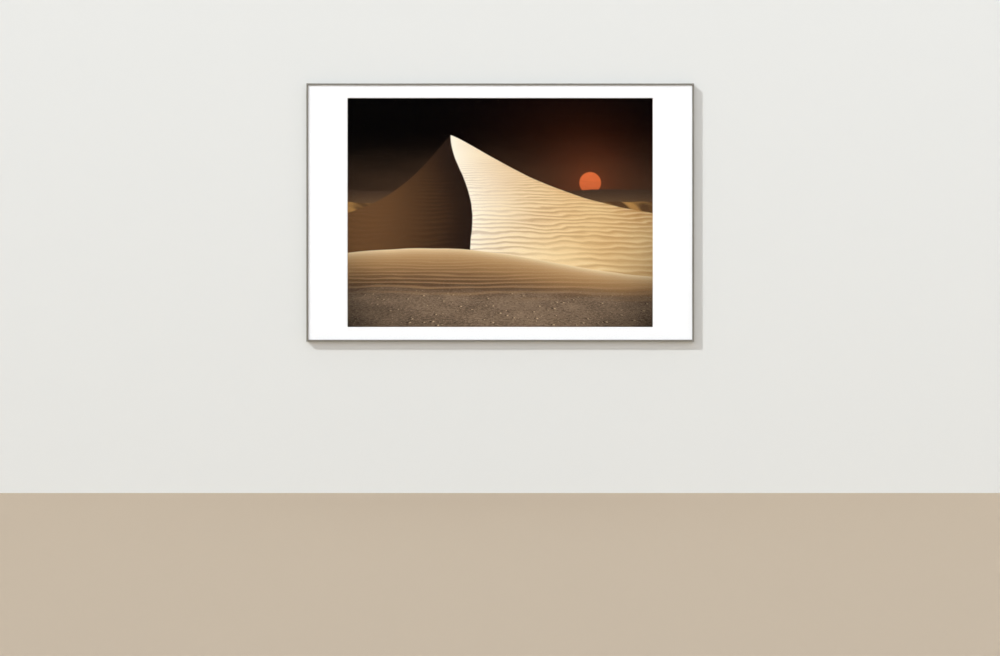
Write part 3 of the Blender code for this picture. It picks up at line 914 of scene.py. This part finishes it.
def extrusion(tree, section, points):
    """The section swept along a line of length 1. Each point keeps its places along and across."""
    across, through, _ = position(tree)
    profile = add(tree, "GeometryNodeMeshToCurve", {"Mesh": section})
    profile = store(tree, store(tree, profile, "inset", across), "depth", through)
    path = add(tree, "GeometryNodeCurvePrimitiveLine", {"Start": (0, 0, -0.5), "End": (0, 0, 0.5)})
    path = add(tree, "GeometryNodeResampleCurve", {"Curve": path, "Count": points})
    return sweep(tree, store(tree, path, "along", position(tree)[2]), profile)


print("an extrusion keeps three numbers on each point: along, inset and depth")

# %% The rule of a mitred rail
tree, start, length, mitre_gap, front = new_rule("mitred_rail", "Length", "Mitre Gap", "Front")
swept = extrusion(tree, start, 2)
inset = named(tree, "inset")
pull_back = inset * 2 + mitre_gap * math.sqrt(2)
along = named(tree, "along") * (length - pull_back)
place = joined(tree, along, named(tree, "depth") + front, inset * -1)
slid = store(tree, put(tree, swept, place), "along", position(tree)[0])
end_rule(tree, slid, rail_finish)

# %% Four rails
for side, (place, turn, length) in SIDES.items():
    mesh = grow("frame_" + side, tree, section.copy(), length=length, mitre_gap=GAP, front=FRONT)
    add_piece(turned(smoothed(mesh, 28), place, turn), "frame_metal", ["rail_" + side])

# %% [markdown]
# ## The stack of sheets
# Behind the face lie the clear sheet, the mat, the print, the mount board and the hardboard, all cut to
# one size. A flat plane for each would do from in front, but a plane has no edge and is no solid, so
# each is a thin box whose edges are eased by a small bevel, as cutting leaves them. Their places come
# from the solids, so they keep the same thin gaps.

# %% A sheet
def eased(shape, edges, ease, segments=2):
    bmesh.ops.bevel(shape, geom=edges, offset=ease, segments=segments, profile=0.5, affect="EDGES")
    return shape


def sheet(node, ease):
    """A box over the solid, with its edges eased."""
    middle, size = measured(node)
    shape = bmesh.new()
    bmesh.ops.create_cube(shape, size=1)
    bmesh.ops.scale(shape, vec=size, verts=shape.verts)
    bmesh.ops.translate(shape, vec=middle, verts=shape.verts)
    return eased(shape, shape.edges[:], ease, 3)


for name, node, slot, material, ease in [
    ("clear_sheet", "glazing", "glazing", glazing_finish, 0.2 * MM),
    ("mount_card", "mount_board", "mount_board", card_finish, 0.15 * MM),
    ("hardboard_back", "backing_board", "hardboard", board_finish, 0.35 * MM),
]:
    add_piece(smoothed(closed(name, sheet(node, ease)), 35), slot, [node], material)

# %% [markdown]
# ## The mat and its bevelled window
# A mat cutter holds its blade at 45 degrees, so the window's edge slopes back to the print and shows the
# board's core as a thin bright line. The window could be cut out of a box, but four rings of points give
# cleaner faces: the outer and inner edge at the front, and at the back. The slope gets the core's finish
# as its own slot.

# %% Mat
def ring(shape, half_x, depth, half_z):
    """Four points round the middle of the frame, at one depth."""
    return [shape.verts.new((x, depth, z)) for x, z in rectangle(-half_x, half_x, -half_z, half_z)]


low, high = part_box("mat")
slope = high.y - low.y
half_x, half_z = MAT_WINDOW_WIDTH / 2, MAT_WINDOW_HEIGHT / 2
shape = bmesh.new()
outer_front = ring(shape, high.x, low.y, high.z)
window_front = ring(shape, half_x + slope, low.y, half_z + slope)
window_rear = ring(shape, half_x, high.y, half_z)
outer_rear = ring(shape, high.x, high.y, high.z)
rings = [outer_front, window_front, window_rear, outer_rear]
for first, second in zip(rings, [*rings[1:], rings[0]]):
    for corner in range(4):
        after = (corner + 1) % 4
        face = shape.faces.new([first[corner], first[after], second[after], second[corner]])
        face.material_index = int(first is window_front)
bmesh.ops.recalc_face_normals(shape, faces=shape.faces)
rims = [[edge for edge in shape.edges if set(edge.verts) <= set(points)] for points in rings]
eased(shape, rims[1], 0.06 * MM)
eased(shape, rims[0] + rims[3], 0.15 * MM)
add_piece(smoothed(closed("mat_with_window", shape), 35), "mat_board", ["mat"], mat_finish, core_finish)

# %% [markdown]
# ## The print
# The paper is cut to the frame's size and only its middle shows. Its front is split into the part in the
# window and the border behind the mat, so that a map for baking can give the picture nearly the whole
# square, and the hidden rest a narrow strip.

# %% Print, cut round the window
TOUCHING = 1e-7


def score(shape, point, across):
    """Cuts the whole shape along a plane and keeps both sides."""
    everything = shape.verts[:] + shape.edges[:] + shape.faces[:]
    bmesh.ops.bisect_plane(shape, geom=everything, plane_co=point, plane_no=across, dist=TOUCHING)


shape = sheet("print", 0.1 * MM)
reach_x, reach_z = half_x + 2 * MM, half_z + 2 * MM
for sign in (-1, 1):
    score(shape, (sign * reach_x, 0, 0), (1, 0, 0))
    score(shape, (0, 0, sign * reach_z), (0, 0, 1))
print("the print is cut into", len(shape.faces), "faces")

# %% Its own map
def spread(value, reach, low, high):
    """Carries -reach to reach over to low to high."""
    return low + (high - low) * (value / reach + 1) / 2


layer = shape.loops.layers.uv.new("OFBake")
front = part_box("print")[0].y
for face in shape.faces:
    centre = face.calc_center_median()
    in_window = abs(centre.x) < reach_x and abs(centre.z) < reach_z and centre.y < front + 0.01 * MM
    strip = 0.01 if face.normal.y > 0.5 else 0.04
    for loop in face.loops:
        x, _, z = loop.vert.co
        loop[layer].uv = spread(x, HALF_WIDTH, 0.01, 0.99), spread(z, HALF_HEIGHT, strip, strip + 0.02)
        if in_window:
            loop[layer].uv = spread(x, reach_x, 0.01, 0.99), spread(z, reach_z, 0.07, 0.99)
add_piece(smoothed(closed("paper_print", shape), 35), "print_paper", ["print"], picture_finish)

# %% [markdown]
# ## The springs
# Bowed strips of hardened steel sit between the shelf and the hardboard, and press the stack against the
# face. A bow could be bent with a modifier, but it follows a plain rule: flat ends, and half a cosine
# wave between them. The tree sweeps the strip's section along that rule once, and sets copies along the
# side at even steps.

# %% The rule of a row of springs
def copies(tree, points, shape, rotation=(0, 0, 0)):
    inputs = {"Points": points, "Instance": shape, "Rotation": rotation}
    return add(tree, "GeometryNodeInstanceOnPoints", inputs)


tree, start, *sizes = new_rule("row_of_springs", "Length", "Bow", "Flat", "Level", "Count", "Side")
length, bow, flat, level, count, side = sizes
along = named(tree, "along") * length
bowed = (along.math("ABSOLUTE") / (length * 0.5 - flat)).math("MINIMUM", 1)
bowed = ((bowed * math.pi).math("COSINE") + 1) * 0.5
place = joined(tree, along, level - bowed * bow + named(tree, "depth"), named(tree, "inset"))
strip = store(tree, put(tree, extrusion(tree, start, 45), place), "bow", bowed)
pitch = side / count
first = joined(tree, pitch * 0.5 - side * 0.5, 0)
row = {"Count": count, "Start Location": first, "Offset": joined(tree, pitch, 0)}
row = add(tree, "GeometryNodeMeshLine", row)
end_rule(tree, copies(tree, row, strip), spring_finish)

# %% Twelve springs
SPRING_THICKNESS, SPRING_FLAT, SPRING_SPACING = 0.5 * MM, 4 * MM, 0.25
middle, size = measured("spring_top_1")
corners = rectangle(-size.z / 2, size.z / 2, -SPRING_THICKNESS / 2, SPRING_THICKNESS / 2)
strip_section = wire("strip_section", rounded([(x, y, 0.12 * MM) for x, y in corners], steps=3))
for side, (place, turn, length) in SIDES.items():
    count = math.floor(length / SPRING_SPACING)
    sizes = {"bow": size.y - SPRING_THICKNESS, "flat": SPRING_FLAT, "count": count, "side": length}
    level = middle.y + size.y / 2 - SPRING_THICKNESS / 2
    mesh = grow("springs_" + side, tree, strip_section.copy(), length=size.x, level=level, **sizes)
    turned(mesh, (0, 0, middle.z - HALF_HEIGHT))
    mesh = turned(smoothed(mesh, 40), place, turn)
    add_piece(mesh, "spring_steel", numbered("spring_" + side, count))

# %% [markdown]
# ## Corner plates
# An L of zinc-plated steel slides into the channels of two rails and joins them. It is a flat stamping,
# so it starts as an outline with two holes, filled and given its thickness, and its edges are eased.
# The other three are the same plate, a quarter turn on each time, which is a rule for a tree.

# %% A stamping
def on_brink(edge):
    """Whether an edge runs round the top or bottom of a plate, where its wall starts."""
    first, second = edge.verts
    return edge.calc_face_angle(0) > math.radians(70) and abs(first.co.z - second.co.z) < TOUCHING


def stamping(name, outlines, thickness, ease):
    """The first outline less the others, as a flat plate in X and Y with eased edges."""
    curve = bpy.data.curves.new(name, "CURVE")
    curve.dimensions = "2D"
    curve.fill_mode = "BOTH"
    curve.extrude = thickness / 2
    for outline in outlines:
        spline = curve.splines.new("POLY")
        spline.points.add(len(outline) - 1)
        for point, (x, y) in zip(spline.points, outline):
            point.co = (x, y, 0, 1)
        spline.use_cyclic_u = True
    shape = opened(plain_mesh(bpy.data.objects.new(name, curve)))
    bmesh.ops.remove_doubles(shape, verts=shape.verts, dist=TOUCHING)
    bmesh.ops.dissolve_limit(shape, angle_limit=0.01, verts=shape.verts, edges=shape.edges)
    bmesh.ops.recalc_face_normals(shape, faces=shape.faces)
    print(name, "openings:", len(outlines) - 1)
    return closed(name, eased(shape, [edge for edge in shape.edges if on_brink(edge)], ease))


def circle(x, y, radius, steps=32):
    turns = [2 * math.pi * step / steps for step in range(steps)]
    return [(x + radius * math.cos(turn), y + radius * math.sin(turn)) for turn in turns]


# %% The plate that is copied
plate_low, plate_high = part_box("corner_plate_1")
screw_middle, screw_size = measured("corner_screw_1")
SCREW_FAR = HALF_WIDTH - screw_middle.x
SCREW_NEAR = SECTION / 2
SCREW_RADIUS = screw_size.x / 2
near, leg = HALF_WIDTH - plate_high.x, HALF_WIDTH - plate_low.x
far = SECTION - near
corners = [(near, near), (near, leg), (far, leg), (far, far), (leg, far), (leg, near)]
outlines = [
    rounded([(-x, -y, 0.8 * MM) for x, y in corners]),
    circle(-SCREW_FAR, -SCREW_NEAR, SCREW_RADIUS + GAP),
    circle(-SCREW_NEAR, -SCREW_FAR, SCREW_RADIUS + GAP),
]
plate = stamping("corner_plate", outlines, plate_high.y - plate_low.y, 0.2 * MM)
laid_back = Matrix(((1, 0, 0), (0, 0, 1), (0, 1, 0))).to_4x4()
plate.transform(Matrix.Translation((0, (plate_low.y + plate_high.y) / 2, 0)) @ laid_back)
print(f"plate legs {leg / MM:.1f} mm, screws {SCREW_FAR / MM:.1f} mm from the corner")

# %% The rule of the four corners
def corner_fields(number, half_width, half_height):
    """A corner's place and its turn, from its number: 0 is top right, and they go round clockwise."""
    turn = number * QUARTER
    x = (turn + QUARTER / 2).math("SINE").math("SIGN") * half_width
    z = (turn + QUARTER / 2).math("COSINE").math("SIGN") * half_height
    return x, z, turn


def row_of(tree, count):
    """A row of points, and the number of each."""
    number = Field(add(tree, "GeometryNodeInputIndex").outputs["Index"])
    return add(tree, "GeometryNodeMeshLine", {"Count": count}), number


tree, start, half_width, half_height = new_rule("four_corners", "Half Width", "Half Height")
points, number = row_of(tree, 4)
x, z, turn = corner_fields(number, half_width, half_height)
points = put(tree, points, joined(tree, x, 0, z))
end_rule(tree, copies(tree, points, start, joined(tree, 0, turn)), zinc_finish)
FRAME = {"half_width": HALF_WIDTH, "half_height": HALF_HEIGHT}
mesh = grow("corner_plates", tree, plate, **FRAME)
add_piece(smoothed(mesh, 40), "zinc", numbered("corner_plate", 4))

# %% [markdown]
# ## Screws
# Slotted screws in the plates push against the channel and lock each corner. A screw is a turned pin, so
# its body is a section spun about its axis. Its thread is a helix, which is a spiral of constant
# width with a small triangle swept along it, and its slot is cut away. No two slots lie alike: each
# screw's turn follows from its number.

# %% A turned body
def spun(name, section, steps=40):
    """A closed solid from (radius, height) points spun about the Y axis. They go from low to high, and
    the first and the last lie on the axis."""
    (_, foot), *rings, (_, top) = section
    turns = [2 * math.pi * step / steps for step in range(steps)]
    points = [(r * math.cos(turn), h, r * math.sin(turn)) for r, h in rings for turn in turns]
    last = len(points) - steps
    faces = []
    for step in range(steps):
        after = (step + 1) % steps
        faces.append((len(points), step, after))
        for ring in range(0, last, steps):
            faces.append((ring + step, ring + steps + step, ring + steps + after, ring + after))
        faces.append((len(points) + 1, last + after, last + step))
    mesh = bpy.data.meshes.new(name)
    mesh.from_pydata([*points, (0, foot, 0), (0, top, 0)], [], faces)
    print(name, "has", len(faces), "faces")
    return mesh


THREAD_DEPTH = 0.22 * MM
core, head = SCREW_RADIUS - THREAD_DEPTH, SCREW_RADIUS - 0.05 * MM
half = screw_size.y / 2
pin = [(0, -half), (core * 0.7, -half), (core, -half + 0.4 * MM), (core, half - 1 * MM)]
pin += [(head, half - 0.85 * MM), (head, half - 0.2 * MM), (head - 0.2 * MM, half), (0, half)]
screw_body = spun("screw_body", pin)

# %% The rule of a slotted screw
names = ["Radius", "Length", "Pitch", "Ridge", "Slot Width", "Slot Depth"]
names += ["Half Width", "Half Height", "Near", "Far", "Middle"]
tree, start, *sizes = new_rule("corner_screws", *names)
radius, length, pitch, ridge, slot_width, slot_depth = sizes[:6]
half_width, half_height, near, far, middle = sizes[6:]


def moved(tree, geometry, place, rotation=(0, 0, 0)):
    inputs = {"Geometry": geometry, "Translation": place, "Rotation": rotation}
    return add(tree, "GeometryNodeTransform", inputs)


def together(tree, first, second):
    both = add(tree, "GeometryNodeJoinGeometry", {"Geometry": first})
    plug(both.inputs["Geometry"], second)
    return both


slot = add(tree, "GeometryNodeMeshCube", {"Size": joined(tree, radius * 3, slot_depth * 2, slot_width)})
slot = moved(tree, slot, joined(tree, 0, length * 0.5))
body = {"Mesh 1": start, "Mesh 2": slot}
body = add(tree, "GeometryNodeMeshBoolean", body, operation="DIFFERENCE", solver="EXACT")
rise = length - slot_depth - 0.4 * MM
crest = radius - ridge - 0.01 * MM
helix = {"Resolution": 24, "Rotations": rise / pitch, "Height": rise, "Start Radius": crest}
helix = add(tree, "GeometryNodeCurveSpiral", {**helix, "End Radius": crest})
profile = add(tree, "GeometryNodeCurvePrimitiveCircle", {"Resolution": 3, "Radius": ridge})
foot = joined(tree, 0, 0.15 * MM - length * 0.5)
thread = moved(tree, sweep(tree, helix, profile), foot, (-QUARTER, 0, 0))
screw = together(tree, body, thread)
print("one screw takes", len(tree.nodes), "nodes")

# %% Eight screws, two to a corner
points, number = row_of(tree, 8)
corner = (number * 0.5).math("FLOOR")
leg = number - corner * 2
x, z, turn = corner_fields(corner, half_width, half_height)
local_x = leg * (far - near) - far
local_z = leg * (near - far) - near
x = x + local_x * turn.math("COSINE") + local_z * turn.math("SINE")
z = z - local_x * turn.math("SINE") + local_z * turn.math("COSINE")
spin = ((corner + 1) * 40 + leg * 70 + 25) * math.radians(1) + turn
points = put(tree, points, joined(tree, x, middle, z))
end_rule(tree, copies(tree, points, screw, joined(tree, 0, spin)), zinc_finish)
sizes = {"radius": SCREW_RADIUS, "length": screw_size.y, "pitch": 0.5 * MM, "ridge": 0.12 * MM}
sizes |= {"slot_width": 0.8 * MM, "slot_depth": 0.9 * MM}
sizes |= {"near": SCREW_NEAR, "far": SCREW_FAR, "middle": screw_middle.y}
mesh = grow("corner_screws", tree, screw_body, **sizes, **FRAME)
add_piece(smoothed(mesh, 30), "zinc", numbered("corner_screw", 8))

# %% [markdown]
# ## Hangers
# A hanger is one stamping with a toothed window, bent twice: a tongue goes under the shelf, and the
# plate steps back and hangs down behind the stack. It is made as a press makes it. The flat blank comes
# first, teeth and all, then lines are scored across it where it bends, and then each point is laid along
# the bent middle line.

# %% The bent middle line
hanger_low, hanger_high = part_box("hanger_right")
HANGER_THICKNESS = 1 * MM
HANGER_FOLD = SECTION + GAP + HANGER_THICKNESS / 2
hanger_drop = HALF_HEIGHT - hanger_low.z
front = hanger_low.y + HANGER_THICKNESS / 2
rear = hanger_high.y - HANGER_THICKNESS / 2
bends = [(HANGER_FOLD, front, 1 * MM), (HANGER_FOLD, rear, 1 * MM)]
bends = rounded([*bends, (hanger_drop, rear, 0), (HALF_HEIGHT - hanger_high.z, front, 0)], 6)
middle_line = [bends[-1], *bends[:-1]]
lengths = [0]
for first, second in zip(middle_line, middle_line[1:]):
    lengths.append(lengths[-1] + (second - first).length)
print(f"the blank is {lengths[-1] / MM:.1f} mm long")

# %% The blank and its teeth
WINDOW_WIDTH, WINDOW_TOP, WINDOW_BOTTOM = 24 * MM, 19.5 * MM, 28.5 * MM
TEETH, TOOTH_DEPTH = 10, 1.2 * MM
shift = lengths[-1] - hanger_drop
half, pitch = WINDOW_WIDTH / 2, WINDOW_WIDTH / TEETH
window = [(half, shift + WINDOW_BOTTOM, 0.8 * MM), (-half, shift + WINDOW_BOTTOM, 0.8 * MM)]
for tooth in range(TEETH):
    left = tooth * pitch - half
    window.append((left, shift + WINDOW_TOP, 0))
    window.append((left + pitch / 2, shift + WINDOW_TOP + TOOTH_DEPTH, 0.15 * MM))
window.append((half, shift + WINDOW_TOP, 0))
half = (hanger_high.x - hanger_low.x) / 2
tongue = [(-half, 0, 1.5 * MM), (half, 0, 1.5 * MM)]
foot = [(half, lengths[-1], 4 * MM), (-half, lengths[-1], 4 * MM)]
outlines = [rounded(tongue + foot, steps=8), rounded(window)]
blank = stamping("hanger", outlines, HANGER_THICKNESS, 0.12 * MM)

# %% Two hangers
def direction(low, high):
    return (middle_line[high] - middle_line[low]).normalized()


shape = opened(blank)
for length in lengths[1:-1]:
    score(shape, (0, length, 0), (0, 1, 0))
last = len(middle_line) - 1
ways = [direction(max(i - 1, 0), min(i + 1, last)) for i in range(last + 1)]
for vertex in shape.verts:
    x, run, off = vertex.co
    spot = max(i for i in range(last) if lengths[i] <= run + TOUCHING or i == 0)
    share = (run - lengths[spot]) / (lengths[spot + 1] - lengths[spot])
    here = middle_line[spot].lerp(middle_line[spot + 1], share)
    way = ways[spot].lerp(ways[spot + 1], share).normalized()
    if spot in (0, last - 1) and 0.001 < share < 0.999:
        way = direction(spot, spot + 1)
    vertex.co = (x, here.y + way.x * off, -(here.x - way.y * off))
hanger = smoothed(closed("hanger", shape), 35)
for node in ("hanger_left", "hanger_right"):
    mesh = turned(hanger.copy(), (measured(node)[0].x, 0, HALF_HEIGHT))
    mesh.name = "toothed_" + node
    add_piece(mesh, "zinc", [node], zinc_finish)

# %% [markdown]
# ## Felt pads
# A pad at each corner of the back keeps the frame off the wall's paint. A pad is a soft-edged disc, spun
# like the screw, and what makes it felt is the fuzz. The tree scatters points on the disc and sets a
# small bent fibre on each, and holds every fibre between the rail and the wall.

# %% The rule of felt
tree, disc, *sizes = new_rule("felt_fuzz", "Density", "Fibre", "Thickness", "Seed", "Front", "Rear")
density, fibre, thickness, seed, front, rear = sizes
scatter = {"Mesh": disc, "Density": density, "Seed": seed}
scatter = add(tree, "GeometryNodeDistributePointsOnFaces", scatter)
bend = {"Resolution": 5, "Start": (0, 0, 0), "Middle": joined(tree, fibre * 0.1, 0, fibre * 0.6)}
bend["End"] = joined(tree, fibre * 0.6, fibre * 0.2, fibre * 0.8)
bend = add(tree, "GeometryNodeCurveQuadraticBezier", bend)
thin = add(tree, "GeometryNodeCurvePrimitiveCircle", {"Resolution": 3, "Radius": thickness * 0.5})
tilt = {"Min": (-0.9, -0.9, 0), "Max": (0.9, 0.9, 2 * math.pi), "Seed": seed}
tilt = add(tree, "FunctionNodeRandomValue", tilt, data_type="FLOAT_VECTOR")
aim = {"Rotation": scatter.outputs["Rotation"], "Rotate By": tilt.outputs["Value"]}
aim = add(tree, "FunctionNodeRotateRotation", aim, rotation_space="LOCAL")
fuzz = copies(tree, scatter, sweep(tree, bend, thin), aim)
fuzz = add(tree, "GeometryNodeRealizeInstances", {"Geometry": fuzz})
x, y, z = position(tree)
fuzz = put(tree, fuzz, joined(tree, x, y.math("MAXIMUM", front).math("MINIMUM", rear), z))
end_rule(tree, together(tree, fuzz, disc), felt_finish)

# %% Four pads
SOFT = 0.45 * MM
FUZZ = {"density": 6 / MM ** 2, "fibre": 0.42 * MM, "thickness": 0.04 * MM}
for number, pad in enumerate(numbered("wall_pad", 4), 1):
    middle, size = measured(pad)
    radius, half = size.x / 2, size.y / 2
    arc = [math.radians(9 * step) for step in range(11)]
    rim = [(radius - SOFT + SOFT * math.sin(t), half - SOFT + SOFT * math.cos(t)) for t in arc]
    upper = [(0, half), (radius * 0.5, half), *rim]
    lower = [(r, -h) for r, h in upper]
    disc = spun("disc_of_" + pad, [*lower, *reversed(upper)], steps=64)
    held = {"front": 0.01 * MM - half, "rear": half - 0.01 * MM}
    mesh = grow(f"felt_pad_{number}", tree, disc, seed=number, **FUZZ, **held)
    add_piece(turned(smoothed(mesh, 60), middle), "felt", [pad])

# %% [markdown]
# ## The finished model
# The finished model should fill the same box as the solids. At the end the box round its pieces is
# measured, and its pieces and their faces are counted.

# %% The model's box, and a count of its pieces
low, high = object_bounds()
print("pieces:", len(BUILT), " faces:", sum(len(piece.data.polygons) for piece in BUILT))
